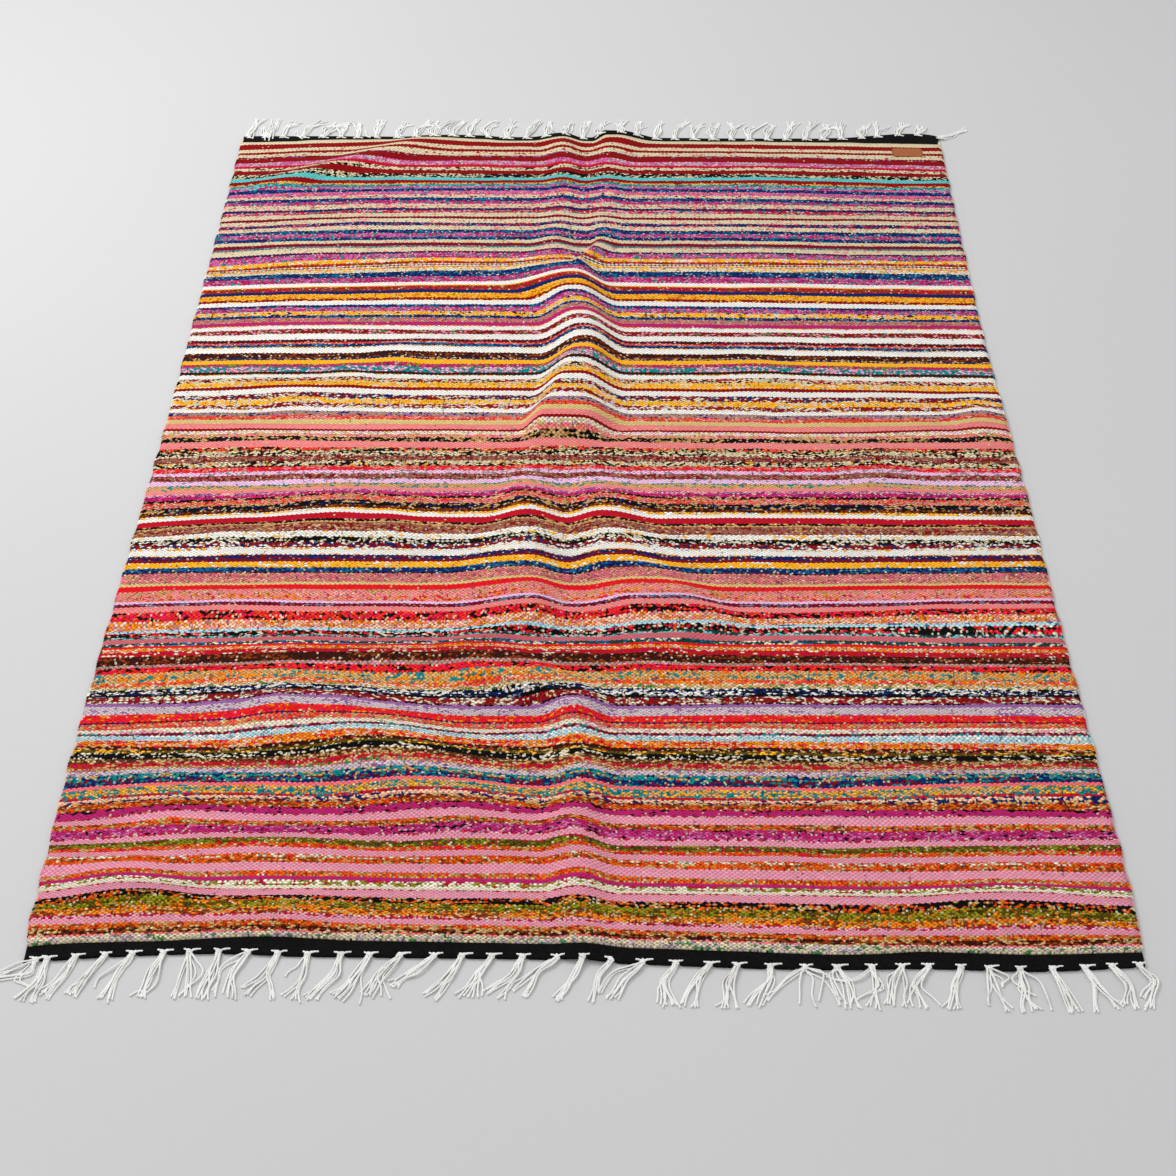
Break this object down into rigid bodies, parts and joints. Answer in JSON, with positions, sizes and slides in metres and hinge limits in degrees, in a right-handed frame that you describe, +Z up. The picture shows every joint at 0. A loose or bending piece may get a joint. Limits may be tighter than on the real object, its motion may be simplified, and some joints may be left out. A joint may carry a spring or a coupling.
{
  "type": "striped rug",
  "caption": "Flat-woven striped rug lying in soft folds, with black end bands, knotted cotton fringes and a small leather label.",
  "frame": {"origin": "centre of the rug's outer box, on the floor it lies on", "axes": "+Y along the rug's length towards the end with the label, +X across it to the right, +Z up"},
  "size_m": [1.5154, 2.1413, 0.0454],
  "materials": {
    "striped_weave": "matte weft-faced flat weave in many yarn colours",
    "black_weave": "matte fine black flat weave",
    "cotton_yarn": "matte white two-ply cotton",
    "label_leather": "smooth tan leather, slightly worn"
  },
  "bodies": {
    "root": {"rug_cloth": "striped_weave", "end_band_front": "black_weave", "end_band_back": "black_weave", "fringe_front": "cotton_yarn", "fringe_back": "cotton_yarn", "leather_label": "label_leather"}
  },
  "joints": []
}
